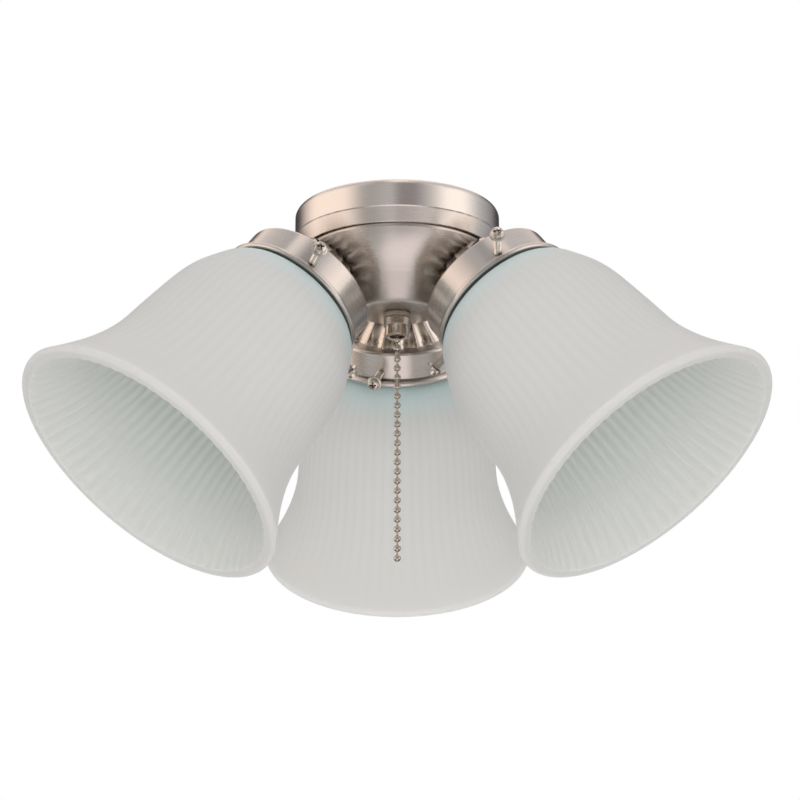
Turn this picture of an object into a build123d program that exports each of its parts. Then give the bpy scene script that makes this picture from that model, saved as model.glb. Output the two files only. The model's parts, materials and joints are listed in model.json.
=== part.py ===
"""Three-lamp light kit for a ceiling fan, hung by a hollow threaded nipple.

Sizes are in millimetres and +Z is up. The origin is the centre of the cap's flat top. The rear arm
points along +Y, and the left and right arms follow at thirds of a turn. An arm's own axis runs from
its cup's back to its shade's mouth, down and outwards.
"""
import os
from math import atan2, cos, hypot, radians, sin, tan

from build123d import *

# Shared by all pieces
overrun = 2.0  # how far a cutter runs past what it cuts
fit_gap = 0.05  # radial clearance of a piece that sits in a hole
pass_gap = 0.3  # clearance of pieces that move past one another

# Arms: where the centre of a cup's back lies, and how the arm points
arm_names = ("rear", "left", "right")
first_arm_azimuth = 90.0
arm_reach = 44.2
arm_drop = 39.9
arm_tilt = 51.0  # below the horizon

# Cap
cap_radius = 45.5
cap_height = 19.1
cap_sheet = 1.0
cap_edge_radius = 3.2
cap_crease_drop = 13.0
cap_crease_step = 0.45
cap_taper = 3.0  # how much narrower its mouth is
dimple_radius = 12.6  # the pressed hollow in its top, which keeps the nut below the rim
dimple_floor_radius = 10.2
dimple_depth = 3.8
dimple_round = 0.8

# Housing
housing_sheet = 1.0
housing_lap = 5.0  # how far its rim stands up inside the cap
housing_show = 1.1  # how far its rim shows below the cap
housing_rim_round = 1.6
housing_crease_radius = 30.0
housing_crease_drop = 36.2
housing_crease_step = 0.5
housing_swell = 1.9  # how far out of line the corner half way down its wall stands
housing_swell_share = 0.8  # how much of the wall that corner's round takes up
housing_floor_radius = 18.0
housing_floor_drop = 46.6
housing_floor_round = 5.0
seat_radius = 9.4  # flat bosses that the necks and their nuts bear on
seat_front_proud = 2.9  # how far they stand out of its wall, along the arm
seat_back_proud = 3.1

# Threaded hollow nipples, nuts and the washer
nipple_radius = 5.1
nipple_bore = 3.5
nipple_root_cut = 0.12
top_nipple_rise = 12.0
top_nipple_drop = 22.0
nut_flats = 14.0
nut_thickness = 3.2
washer_radius = 7.4
washer_thickness = 1.0
washer_split = 1.2

# Crossbar inside the housing's rim
crossbar_width = 14.0
crossbar_thickness = 1.5
crossbar_drop = 15.6

# Neck: fluted outline, from the cup's back towards the housing
neck_radius = 26.0
neck_past_wall = 6.7  # how far it is drawn past the housing's wall before it is trimmed
neck_flute_count = 20
neck_flute_turn = -3.0
flute_depth_share = 0.08
neck_outline_shares = ((0.0, 1.0), (0.22, 0.865), (0.45, 0.70), (0.60, 0.57), (0.72, 0.44), (1.0, 0.42))

# Shade
shade_setback = 3.0  # from the cup's back to the shade's top edge
shade_length = 114.3
shade_mouth_radius = 63.6
shade_rim_thickness = 4.8
shade_rim_outer_round = 1.9
shade_rim_inner_round = 0.7
collar_radius = 27.6
collar_thickness = 3.2
collar_lip_proud = 1.4
collar_lip_height = 2.6
collar_length = 10.5
outer_bell_shares = (
    (0.056, 0.023), (0.139, 0.044), (0.217, 0.070), (0.297, 0.115), (0.406, 0.202), (0.467, 0.300),
    (0.497, 0.399), (0.528, 0.517), (0.556, 0.626), (0.622, 0.724), (0.739, 0.831), (0.870, 0.921),
)
inner_bell_shares = (
    (0.090, 0.039), (0.203, 0.074), (0.288, 0.113), (0.410, 0.202), (0.477, 0.300), (0.509, 0.399),
    (0.538, 0.517), (0.567, 0.626), (0.634, 0.724), (0.750, 0.834), (0.878, 0.926),
)

# Fitter cup
cup_room = 1.1  # around the shade's lip
cup_depth = 15.5
cup_sheet = 0.9
cup_corner_round = 1.2
bead_proud = 2.5
bead_width = 2.7
bead_groove_depth = 0.3
bead_groove_width = 0.6

# Thumb screws. The first of each arm points down and inwards, and they stand where the photo has them
screw_bearings = {"rear": (-76.0, 44.0, 164.0), "left": (-102.0, 17.5, 138.0), "right": (-88.0, 30.0, 147.0)}
screw_along = 9.95  # from the cup's back
screw_shank_radius = 1.75
screw_stand_off = 10.4  # head above the cup's wall
screw_flange_radius = 3.35
screw_flange_thickness = 1.3
screw_knurl_count = 24
screw_knurl_depth = 0.2
screw_boss_radius = 2.4
screw_boss_height = 1.7
screw_dome_height = 0.5
recess_width = 0.75
recess_length = 3.3
recess_depth = 1.1

# Lamp socket
socket_radius = 18.0
socket_length = 27.0
socket_back_thickness = 7.2
socket_web_thickness = 2.0
socket_edge_round = 1.5
shell_bore = 13.3
shell_sheet = 0.5
shell_length = 14.0
shell_floor_bore = 5.0
contact_radius = 3.6
contact_thickness = 1.0
contact_rivet_radius = 0.8
lead_radius = 0.95
lead_offset = 2.2
arm_nipple_into_socket = 5.6
arm_nipple_past_nut = 1.5

# Pull-chain switch
bushing_radius = 4.5
bushing_bore = 2.2
bushing_drop = 55.6
case_floor = 1.2
case_wall = 1.2
case_round = 1.0
cover_thickness = 1.0
drum_pitch_radius = 4.0
drum_core_radius = 2.1
drum_flange_radius = 4.6
drum_groove_width = 3.9
drum_flange_thickness = 0.8
drum_pin_radius = 1.0
rotor_radius = 4.2
rotor_width = 3.0
rotor_slot_width = 1.0
rotor_slot_depth = 1.0
rotor_slot_count = 4
spring_outer_radius = 2.4
spring_width = 1.4
blade_width = 2.4
blade_thickness = 0.5
blade_rise = 5.0

# Knurled nut and nozzle
knob_radius = 6.1
knob_knurl_count = 44
knob_knurl_depth = 0.3
knob_groove = 0.35
nut_height = 2.75
collar_height = 3.85
nozzle_radius = 5.35
nozzle_height = 4.3
nozzle_round = 0.5
nozzle_mouth_radius = 3.4
nozzle_mouth_depth = 2.3

# Ball chain
ball_radius = 1.6
ball_pitch = 4.24
link_radius = 0.45
mouth_ball_drop = 58.7  # the ball that hangs in the nozzle's mouth
inner_ball_count = 6
hanging_ball_count = 22
first_hanging_drop = 67.5
ball_skin_gap = 0.15
coupling_drop = 62.6  # its centre, which the hanging chain swings on
coupling_radius = 1.75
coupling_sheet = 0.3
coupling_hole_radius = 1.15
coupling_ball_radius = 1.3
chain_sleeve_radius = 1.0
chain_sleeve_drop = 64.4

# What follows from the sizes above
cap_mouth_radius = cap_radius - cap_taper
housing_rim_radius = cap_mouth_radius - cap_sheet - pass_gap
housing_rim_drop = cap_height + housing_show
collar_bore = collar_radius - collar_thickness
collar_lip_radius = collar_radius + collar_lip_proud
shade_mouth_inner_radius = shade_mouth_radius - shade_rim_thickness
cup_radius = collar_lip_radius + cup_room + cup_sheet
bead_radius = cup_radius + bead_proud


def arm_azimuth(name):
    return first_arm_azimuth + arm_names.index(name) * 360 / len(arm_names)


def arm_location(name):
    """An arm's frame: Z runs from the cup's back to the shade's mouth, and Y points up and outwards."""
    azimuth = radians(arm_azimuth(name))
    tilt = radians(arm_tilt)
    up = Vector(0, 0, 1)
    outward = Vector(cos(azimuth), sin(azimuth), 0)
    axis = outward * cos(tilt) - up * sin(tilt)
    centre = outward * arm_reach - up * arm_drop
    return Plane(origin=centre, x_dir=up.cross(outward), z_dir=axis).location


def wall_distance():
    """How far up an arm's axis the line from the housing's rim to its crease lies, from the cup's back."""
    tilt = radians(arm_tilt)
    run = housing_rim_radius - housing_crease_radius
    fall = housing_crease_drop - housing_rim_drop
    out = arm_reach - housing_crease_radius
    rise = housing_crease_drop - arm_drop
    return (out * fall - rise * run) / (cos(tilt) * fall + sin(tilt) * run)


def seat_front():
    return wall_distance() - seat_front_proud


def seat_back():
    return wall_distance() + seat_back_proud


def turned(corners, rounds=None):
    """A solid turned about Z from corners given as (radius, height), with a round for each corner."""
    points = [(radius, 0, height) for radius, height in corners]
    if rounds is None:
        outline = Polyline(*points, close=True)
    else:
        outline = FilletPolyline(*points, radius=rounds, close=True)
    return revolve(make_face(outline), Axis.Z)


def rod(radius, low, high):
    return Pos(0, 0, low) * Cylinder(radius, high - low, align=(Align.CENTER, Align.CENTER, Align.MIN))


def pipe(radius, bore, low, high):
    return rod(radius, low, high) - rod(bore, low - overrun, high + overrun)


def hex_nut(bore, low):
    outline = RegularPolygon(nut_flats / 2, 6, major_radius=False)
    body = extrude(Pos(0, 0, low) * outline, nut_thickness)
    return body - rod(bore, low - overrun, low + nut_thickness + overrun)


def knurled(radius, depth, count, low, height):
    """A straight-knurled disc: the outline steps between the crests and the roots."""
    points = []
    for step in range(2 * count):
        angle = radians(step * 180 / count)
        reach = radius - depth * (step % 2)
        points.append((reach * cos(angle), reach * sin(angle)))
    return extrude(Pos(0, 0, low) * make_face(Polyline(*points, close=True)), height)


def ball_run(balls):
    """Balls on a thin rod, turned as one solid, from the (height, radius) of each."""
    edges = []
    ends = []
    for centre, radius in balls:
        half_chord = (radius**2 - link_radius**2) ** 0.5
        upper = (link_radius, 0, centre + half_chord)
        lower = (link_radius, 0, centre - half_chord)
        if ends:
            edges.append(Line(ends[-1], upper))
        edges.append(ThreePointArc(upper, (radius, 0, centre), lower))
        ends += [upper, lower]
    edges.append(Polyline(ends[-1], (0, 0, ends[-1][2]), (0, 0, ends[0][2]), ends[0]))
    return revolve(make_face(edges), Axis.Z)


# Cap and housing


def make_cap():
    crease = -cap_crease_drop
    taper_top = cap_radius - cap_crease_step
    hole = nipple_radius + fit_gap
    lean = atan2(dimple_depth, dimple_radius - dimple_floor_radius)
    spread = cap_sheet * tan(lean / 2)
    corners = [
        (hole, -dimple_depth),
        (dimple_floor_radius, -dimple_depth),
        (dimple_radius, 0),
        (cap_radius, 0),
        (cap_radius, crease + cap_crease_step),
        (taper_top, crease),
        (cap_mouth_radius, -cap_height),
        (cap_mouth_radius - cap_sheet, -cap_height),
        (taper_top - cap_sheet, crease),
        (cap_radius - cap_sheet, crease + cap_crease_step),
        (cap_radius - cap_sheet, -cap_sheet),
        (dimple_radius + spread, -cap_sheet),
        (dimple_floor_radius + spread, -dimple_depth - cap_sheet),
        (hole, -dimple_depth - cap_sheet),
    ]
    lip = 0.45 * cap_sheet
    wide = dimple_round + cap_sheet
    top_rounds = [0, dimple_round, wide, cap_edge_radius, 0, 0, lip]
    under_rounds = [lip, 0, 0, cap_edge_radius - cap_sheet, dimple_round, wide, 0]
    return turned(corners, top_rounds + under_rounds)


def housing_outline(sheet, top):
    """The housing, filled up to top and sheet thickness in from its outside."""
    rim = housing_rim_radius - sheet
    crease = housing_crease_radius - sheet
    run = rim - crease
    fall = housing_crease_drop - housing_rim_drop
    half = hypot(run, fall) / 2
    swell_round = housing_swell_share * hypot(half, housing_swell) * half / housing_swell
    out = housing_swell / (2 * half)
    corners = [
        (0, top),
        (rim, top),
        (rim, -housing_rim_drop),
        (rim - run / 2 + fall * out, -housing_rim_drop - fall / 2 - run * out),
        (crease, -housing_crease_drop),
        (crease - housing_crease_step, -housing_crease_drop - housing_crease_step + sheet / 2),
        (housing_floor_radius - sheet / 2, -housing_floor_drop + sheet),
        (0, -housing_floor_drop + sheet),
    ]
    rounds = [0, 0, housing_rim_round - sheet / 2, swell_round - sheet, 0, 0, housing_floor_round - sheet, 0]
    return turned(corners, rounds)


def on_arms(make):
    """The same local solid on all three arms."""
    return [arm_location(name) * make for name in arm_names]


def make_housing():
    top = -cap_height + housing_lap
    shell = housing_outline(0, top) - housing_outline(housing_sheet, top + overrun)
    for seat in on_arms(rod(seat_radius, -seat_back(), -seat_front())):
        shell += seat
    for hole in on_arms(rod(nipple_radius + fit_gap, -seat_back() - overrun, -seat_front() + overrun)):
        shell -= hole
    floor = -housing_floor_drop
    return shell - rod(bushing_radius + fit_gap, floor - overrun, floor + housing_sheet + overrun)


def make_crossbar():
    length = 2 * (housing_rim_radius - housing_sheet)
    bar = Pos(0, 0, -crossbar_drop) * Box(
        length, crossbar_width, crossbar_thickness, align=(Align.CENTER, Align.CENTER, Align.MAX)
    )
    low = -crossbar_drop - crossbar_thickness - overrun
    bar &= rod(housing_rim_radius - housing_sheet - fit_gap, low, 0)
    return bar - rod(nipple_radius + fit_gap, low, 0)


def make_mounting_nipple():
    root = nipple_radius - nipple_root_cut
    nut_top = -dimple_depth + nut_thickness + fit_gap
    free_end = rod(nipple_radius, nut_top, top_nipple_rise)
    held_end = rod(root, -top_nipple_drop, nut_top)
    return free_end + held_end - rod(nipple_bore, -top_nipple_drop - overrun, top_nipple_rise + overrun)


def make_lock_washer(top):
    ring = pipe(washer_radius, nipple_radius + fit_gap, top - washer_thickness, top)
    slot = Pos(washer_radius, 0, top) * Box(washer_radius, washer_split, 3 * washer_thickness)
    return ring - slot


# Arms


def make_neck(name):
    """A fluted bell between the housing's boss and the cup's back, bored for the arm's nipple."""
    length = wall_distance() + neck_past_wall
    sections = []
    for along_share, radius_share in neck_outline_shares:
        ridge = neck_radius * radius_share
        channel = ridge * (1 - flute_depth_share)
        height = -length * along_share
        arcs = []
        for flute in range(neck_flute_count):
            points = []
            for half, reach in enumerate((ridge, channel, ridge)):
                angle = radians(neck_flute_turn + (flute + half / 2) * 360 / neck_flute_count)
                points.append((reach * cos(angle), reach * sin(angle), height))
            arcs.append(ThreePointArc(*points))
        sections.append(Face(Wire(arcs)))
    bell = arm_location(name) * (loft(sections) - rod(nipple_radius + fit_gap, -length - overrun, overrun))
    seat = rod(seat_radius + fit_gap, -length - overrun, -seat_front() + fit_gap)
    below_cap = rod(cap_radius + pass_gap, -cap_height - pass_gap, 0)
    return bell - housing_outline(-fit_gap, 0) - below_cap - arm_location(name) * seat


def make_arm_nipple():
    back = -seat_back() - nut_thickness - arm_nipple_past_nut
    return pipe(nipple_radius, nipple_bore, back, cup_sheet + arm_nipple_into_socket)


def make_cup(name):
    """A drawn cup with a rolled bead, a hole for the nipple and a tapped hole for each thumb screw."""
    neck_side = cup_depth - bead_width
    groove_side = neck_side - bead_groove_width
    corners = [
        (nipple_radius + fit_gap, 0),
        (cup_radius, 0),
        (cup_radius, groove_side),
        (cup_radius - bead_groove_depth, groove_side + bead_groove_depth),
        (cup_radius - bead_groove_depth, neck_side),
        (bead_radius, neck_side),
        (bead_radius, cup_depth),
        (cup_radius - cup_sheet, cup_depth),
        (cup_radius - cup_sheet, cup_sheet),
        (nipple_radius + fit_gap, cup_sheet),
    ]
    bead_round = 0.45 * bead_width
    lip = 0.3 * cup_sheet
    cup = turned(corners, [0, cup_corner_round, 0, 0, 0, bead_round, bead_round, lip, lip, 0])
    for angle in screw_bearings[name]:
        hole = rod(screw_shank_radius + fit_gap, collar_radius, cup_radius + overrun)
        cup -= Rot(0, 0, angle) * Pos(0, 0, screw_along) * Rot(0, 90, 0) * hole
    return cup


def make_thumb_screw(angle):
    """A toothed flange and a domed boss with a cross recess. Its tip bears on the shade's collar."""
    seat = cup_radius + screw_stand_off
    flange_top = seat + screw_flange_thickness
    shoulder = flange_top + screw_boss_height
    top = shoulder + screw_dome_height
    shank = rod(screw_shank_radius, collar_radius + pass_gap, flange_top)
    flange = knurled(screw_flange_radius, screw_knurl_depth, screw_knurl_count, seat, screw_flange_thickness)
    dome_radius = (screw_boss_radius**2 + screw_dome_height**2) / (2 * screw_dome_height)
    boss = Pos(0, 0, top - dome_radius) * Sphere(dome_radius)
    boss &= rod(screw_boss_radius, flange_top - screw_flange_thickness / 2, top)
    screw = shank + flange + boss
    for turn in (0, 90):
        slot = Box(recess_length, recess_width, 2 * recess_depth)
        screw -= Pos(0, 0, top) * Rot(0, 0, turn) * slot
    return Rot(0, 0, angle) * Pos(0, 0, screw_along) * Rot(0, 90, 0) * screw


def bell_points(shares, collar, mouth, rim_round):
    """Points of the bell between the collar and the rim's round, from (radius, length) shares."""
    start = shade_setback + collar_length
    length = shade_length - collar_length - rim_round
    return [
        (collar + (mouth - collar) * radius_share, 0, start + length * along_share)
        for radius_share, along_share in ((0, 0),) + shares + ((1, 1),)
    ]


def rim_arc(wall, reach):
    """A quarter round from a wall of the shade's mouth to the rim's flat end, reach further out."""
    end = shade_setback + shade_length
    drop = abs(reach)
    corner_share = 1 - cos(radians(45))
    middle = (wall + reach * corner_share, 0, end - drop * corner_share)
    return ThreePointArc((wall, 0, end - drop), middle, (wall + reach, 0, end))


def make_shade():
    """A pressed-glass bell: a lipped collar, a waist, and a flared mouth with a thick flat rim."""
    outside = bell_points(outer_bell_shares, collar_radius, shade_mouth_radius, shade_rim_outer_round)
    inside = bell_points(inner_bell_shares, collar_bore, shade_mouth_inner_radius, shade_rim_inner_round)
    outer_arc = rim_arc(shade_mouth_radius, -shade_rim_outer_round)
    inner_arc = rim_arc(shade_mouth_inner_radius, shade_rim_inner_round)
    lip_end = shade_setback + collar_lip_height
    outline = [
        Polyline(
            inside[0],
            (collar_bore, 0, shade_setback),
            (collar_lip_radius, 0, shade_setback),
            (collar_lip_radius, 0, lip_end),
            (collar_radius, 0, lip_end + collar_lip_proud),
            outside[0],
        ),
        Spline(*outside),
        outer_arc,
        Line(outer_arc @ 1, inner_arc @ 1),
        inner_arc,
        Spline(*inside[::-1]),
    ]
    return revolve(make_face(outline), Axis.Z)


def make_socket_body():
    """A porcelain lamp holder, screwed on the arm's nipple so that it clamps the cup to the neck."""
    low = cup_sheet
    web_low = low + socket_back_thickness
    web_high = socket_floor()
    high = low + socket_length
    cavity = shell_bore + shell_sheet + fit_gap
    corners = [
        (0, web_low),
        (nipple_radius + fit_gap, web_low),
        (nipple_radius + fit_gap, low),
        (socket_radius, low),
        (socket_radius, high),
        (cavity, high),
        (cavity, web_high),
        (0, web_high),
    ]
    rounds = [0, 0, 0, socket_edge_round, socket_edge_round, socket_edge_round / 2, 0, 0]
    body = turned(corners, rounds)
    body -= rod(contact_radius + fit_gap, web_high - contact_thickness, web_high + overrun)
    for offset in (-lead_offset, lead_offset):
        body -= Pos(offset, 0, 0) * rod(lead_radius + fit_gap, web_low - overrun, web_high + overrun)
    return body - rod(contact_rivet_radius + fit_gap, web_low - overrun, web_high + overrun)


def socket_floor():
    return cup_sheet + socket_back_thickness + socket_web_thickness


def make_screw_shell():
    """The threaded shell that a lamp's base screws into, open towards the shade's mouth."""
    low = socket_floor()
    wall = pipe(shell_bore + shell_sheet, shell_bore, low, low + shell_length)
    return wall + pipe(shell_bore + shell_sheet, shell_floor_bore, low, low + shell_sheet)


def make_centre_contact():
    """A riveted disc, let into the floor of the lamp holder."""
    high = socket_floor()
    low = high - contact_thickness
    disc = rod(contact_radius, low, high)
    for offset in (-lead_offset, lead_offset):
        disc -= Pos(offset, 0, 0) * rod(lead_radius + fit_gap, low - overrun, high + overrun)
    return disc + rod(contact_rivet_radius, high - socket_web_thickness, high - contact_thickness / 2)


def make_arm_nut():
    return hex_nut(nipple_radius + fit_gap, -seat_back() - nut_thickness)


# Switch


def switch_base():
    """Height of the case's underside, on the housing's floor."""
    return -housing_floor_drop + housing_sheet


def drum_height():
    return -mouth_ball_drop + (inner_ball_count - 1) * ball_pitch


def case_size():
    """The case's inside: (x low, x high, y low, y high, top)."""
    x_low = -drum_pitch_radius - drum_flange_radius - pass_gap
    x_high = ball_radius + 3 * pass_gap
    side = drum_groove_width / 2 + drum_flange_thickness + pass_gap
    y_low = -side - spring_width - pass_gap
    y_high = side + rotor_width + pass_gap
    return x_low, x_high, y_low, y_high, drum_height() + drum_flange_radius + pass_gap


def box_between(low, high):
    middle = [(a + b) / 2 for a, b in zip(low, high)]
    return Pos(*middle) * Box(*[b - a for a, b in zip(low, high)])


def drum_axis(body):
    """Moves a solid turned about Z onto the drum's axis, which lies along Y."""
    return Pos(-drum_pitch_radius, 0, drum_height()) * Rot(-90, 0, 0) * body


def blade_places():
    """The two contact blades stand either side of the rotor, against the case's cover."""
    x_low, x_high, y_low, y_high, top = case_size()
    middle = y_high - rotor_width / 2 - pass_gap / 2
    reach = rotor_radius + pass_gap
    return [(-drum_pitch_radius - reach, middle), (-drum_pitch_radius + reach, middle)]


def make_switch_case():
    x_low, x_high, y_low, y_high, top = case_size()
    base = switch_base()
    low = (x_low - case_wall, y_low - case_wall, base)
    high = (x_high + case_wall, y_high + case_wall, top)
    outer = fillet(box_between(low, high).edges().filter_by(Axis.Z), case_round)
    inner = box_between((x_low, y_low, base + case_floor), (x_high, y_high, top + overrun))
    case = outer - inner - rod(bushing_radius + fit_gap, base - overrun, base + case_floor + overrun)
    pin_reach = y_high - y_low + 2 * case_wall + overrun
    return case - drum_axis(rod(drum_pin_radius + fit_gap, -pin_reach, pin_reach))


def make_switch_cover():
    x_low, x_high, y_low, y_high, top = case_size()
    low = (x_low - case_wall, y_low - case_wall, top)
    high = (x_high + case_wall, y_high + case_wall, top + cover_thickness)
    cover = fillet(box_between(low, high).edges().filter_by(Axis.Z), case_round)
    for x, y in blade_places():
        slot = Box(blade_thickness + 2 * fit_gap, blade_width + 2 * fit_gap, 4 * cover_thickness)
        cover -= Pos(x, y, top) * slot
    return cover


def make_contact_blades():
    """Two leaf contacts that hang through the cover, beside the rotor. Their tails take the wires."""
    x_low, x_high, y_low, y_high, top = case_size()
    low = drum_height() - rotor_radius / 2
    high = top + cover_thickness + blade_rise
    side = blade_thickness / 2
    edge = blade_width / 2
    blades = []
    for x, y in blade_places():
        blades.append(box_between((x - side, y - edge, low), (x + side, y + edge, high)))
    return Compound(children=blades)


def make_drum_pin():
    x_low, x_high, y_low, y_high, top = case_size()
    return drum_axis(rod(drum_pin_radius, y_low - case_wall, y_high + case_wall))


def make_chain_drum():
    """The grooved drum that the chain's top ball leaves at its side."""
    groove = drum_groove_width / 2
    side = groove + drum_flange_thickness
    bore = drum_pin_radius + fit_gap
    corners = [
        (bore, -side),
        (drum_flange_radius, -side),
        (drum_flange_radius, -groove),
        (drum_core_radius, -groove),
        (drum_core_radius, groove),
        (drum_flange_radius, groove),
        (drum_flange_radius, side),
        (bore, side),
    ]
    return drum_axis(turned(corners))


def make_contact_rotor():
    low = drum_groove_width / 2 + drum_flange_thickness + pass_gap / 2
    high = low + rotor_width
    rotor = pipe(rotor_radius, drum_pin_radius + fit_gap, low, high)
    for step in range(rotor_slot_count):
        slot = box_between(
            (rotor_radius - rotor_slot_depth, -rotor_slot_width / 2, low - overrun),
            (rotor_radius + overrun, rotor_slot_width / 2, high + overrun),
        )
        rotor -= Rot(0, 0, (step + 1 / 2) * 360 / rotor_slot_count) * slot
    return drum_axis(rotor)


def make_return_spring():
    high = -(drum_groove_width / 2 + drum_flange_thickness + pass_gap)
    return drum_axis(pipe(spring_outer_radius, drum_pin_radius + fit_gap, high - spring_width, high))


def make_bushing():
    return pipe(bushing_radius, bushing_bore, -bushing_drop, switch_base() + case_floor)


def knurled_ring(low, height, bore):
    ring = knurled(knob_radius, knob_knurl_depth, knob_knurl_count, low, height)
    return ring - rod(bore, low - overrun, low + height + overrun)


def make_switch_nut():
    low = -housing_floor_drop - nut_height
    return knurled_ring(low + knob_groove, nut_height - knob_groove, bushing_radius + fit_gap)


def make_nozzle():
    """A knurled collar and a smooth mouth, screwed on the bushing. The chain hangs out of it."""
    top = -housing_floor_drop - nut_height
    collar = top - collar_height
    low = collar - nozzle_height
    shoulder = low + nozzle_mouth_depth
    knob_height = collar_height - knob_groove
    knob = knurled(knob_radius, knob_knurl_depth, knob_knurl_count, collar + knob_groove, knob_height)
    corners = [
        (0, top + knob_groove / 2),
        (knob_radius - 2 * knob_knurl_depth, top + knob_groove / 2),
        (knob_radius - 2 * knob_knurl_depth, collar),
        (nozzle_radius, collar),
        (nozzle_radius, low),
        (0, low),
    ]
    body = turned(corners, [0, 0, 0, 0, nozzle_round, 0]) + knob
    body -= rod(bushing_radius + fit_gap, -bushing_drop - fit_gap, top + overrun)
    body -= rod(bushing_bore, low - overrun, top)
    return body - rod(nozzle_mouth_radius, low - overrun, min(shoulder, -bushing_drop - 2 * fit_gap))


# Chain


def make_inner_chain():
    return ball_run([(drum_height() - step * ball_pitch, ball_radius) for step in range(inner_ball_count)])


def make_coupling():
    """A hollow ball that holds the hanging chain's top ball. Its stem ends just under the ball above."""
    cavity = coupling_radius - coupling_sheet
    stem = rod(link_radius, cavity, coupling_drop - mouth_ball_drop - ball_radius - ball_skin_gap)
    body = Sphere(coupling_radius) + stem - Sphere(cavity)
    return Pos(0, 0, -coupling_drop) * (body - rod(coupling_hole_radius, -coupling_radius - overrun, 0))


def make_hanging_chain():
    """The ball held in the coupling, a sleeve on the first link, and the balls that hang in view."""
    balls = [(-coupling_drop, coupling_ball_radius)]
    balls += [(-first_hanging_drop - step * ball_pitch, ball_radius) for step in range(hanging_ball_count)]
    return ball_run(balls) + rod(chain_sleeve_radius, -first_hanging_drop, -chain_sleeve_drop)


def make_nodes():
    inner_top = -crossbar_drop - crossbar_thickness
    nodes = {
        "cap": make_cap(),
        "housing": make_housing(),
        "crossbar": make_crossbar(),
        "mounting_nipple": make_mounting_nipple(),
        "cap_nut": hex_nut(nipple_radius + fit_gap, -dimple_depth),
        "lock_washer": make_lock_washer(inner_top),
        "crossbar_nut": hex_nut(nipple_radius + fit_gap, inner_top - washer_thickness - nut_thickness),
        "switch_case": make_switch_case(),
        "switch_cover": make_switch_cover(),
        "contact_blades": make_contact_blades(),
        "drum_pin": make_drum_pin(),
        "chain_drum": make_chain_drum(),
        "contact_rotor": make_contact_rotor(),
        "return_spring": make_return_spring(),
        "switch_bushing": make_bushing(),
        "switch_nut": make_switch_nut(),
        "chain_nozzle": make_nozzle(),
        "inner_chain": make_inner_chain(),
        "chain_coupling": make_coupling(),
        "hanging_chain": make_hanging_chain(),
    }
    for name in arm_names:
        place = arm_location(name)
        nodes[f"{name}_neck"] = make_neck(name)
        nodes[f"{name}_arm_nipple"] = place * make_arm_nipple()
        nodes[f"{name}_arm_nut"] = place * make_arm_nut()
        nodes[f"{name}_cup"] = place * make_cup(name)
        nodes[f"{name}_socket_body"] = place * make_socket_body()
        nodes[f"{name}_screw_shell"] = place * make_screw_shell()
        nodes[f"{name}_centre_contact"] = place * make_centre_contact()
        nodes[f"{name}_shade"] = place * make_shade()
        for number, angle in enumerate(screw_bearings[name], start=1):
            nodes[f"{name}_thumb_screw_{number}"] = place * make_thumb_screw(angle)
    return nodes


def main():
    os.makedirs("parts", exist_ok=True)
    for name, solid in make_nodes().items():
        export_step(solid, f"parts/{name}.step")


main()
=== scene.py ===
"""Looks for a three-lamp ceiling fan light kit: satin nickel, ribbed frosted shades and studio light.

Lengths are in metres. An arm's own axis runs from its cup's back to its shade's mouth.
"""

import json
from math import cos, pi, radians, sin, tau

import bmesh
import bpy
import numpy as np
from mathutils import Matrix, Vector


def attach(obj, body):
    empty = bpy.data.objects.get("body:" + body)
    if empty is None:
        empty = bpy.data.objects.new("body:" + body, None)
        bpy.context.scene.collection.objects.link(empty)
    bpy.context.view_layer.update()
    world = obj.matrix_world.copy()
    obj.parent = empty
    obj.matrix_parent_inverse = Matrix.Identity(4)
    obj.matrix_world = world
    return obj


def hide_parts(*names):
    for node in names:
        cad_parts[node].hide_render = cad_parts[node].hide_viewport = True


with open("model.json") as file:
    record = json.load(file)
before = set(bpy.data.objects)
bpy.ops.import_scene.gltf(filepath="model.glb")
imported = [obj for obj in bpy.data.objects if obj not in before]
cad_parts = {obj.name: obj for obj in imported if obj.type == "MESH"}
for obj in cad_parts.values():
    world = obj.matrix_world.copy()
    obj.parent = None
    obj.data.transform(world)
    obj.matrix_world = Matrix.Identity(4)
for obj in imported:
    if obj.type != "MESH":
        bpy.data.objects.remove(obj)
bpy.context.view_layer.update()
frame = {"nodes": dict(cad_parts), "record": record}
nodes = frame["nodes"]

MM = 0.001

# Arms: where a cup's back lies, and how far below the horizon the arm points, in degrees
ARM_NAMES = ("rear", "left", "right")
FIRST_ARM_AZIMUTH = 90.0
ARM_REACH = 44.2 * MM
ARM_DROP = 39.9 * MM
ARM_TILT = 51.0

# Shade. A bell's shares are (out from the collar to the mouth, along from the collar to the rim)
SHADE_SETBACK = 3.0 * MM
SHADE_LENGTH = 114.3 * MM
MOUTH_RADIUS = 63.6 * MM
MOUTH_INNER_RADIUS = 58.8 * MM
RIM_OUTER_ROUND = 1.9 * MM
RIM_INNER_ROUND = 0.7 * MM
LIP_RADIUS = 29.0 * MM
LIP_HEIGHT = 2.6 * MM
COLLAR_RADIUS = 27.6 * MM
COLLAR_BORE = 24.4 * MM
COLLAR_LENGTH = 10.5 * MM
OUTER_BELL_SHARES = (
    (0.0, 0.0), (0.052, 0.017), (0.106, 0.026), (0.163, 0.038), (0.226, 0.063), (0.300, 0.114),
    (0.406, 0.202), (0.467, 0.300), (0.497, 0.399), (0.528, 0.517), (0.556, 0.626), (0.622, 0.724),
    (0.739, 0.831), (0.870, 0.921), (1.0, 1.0),
)
INNER_BELL_SHARES = (
    (0.0, 0.0), (0.090, 0.039), (0.203, 0.074), (0.288, 0.113), (0.410, 0.202), (0.477, 0.300),
    (0.509, 0.399), (0.538, 0.517), (0.567, 0.626), (0.634, 0.724), (0.750, 0.834), (0.878, 0.926),
    (1.0, 1.0),
)
BELL_STEPS = 46
RIM_STEPS = 5
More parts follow.
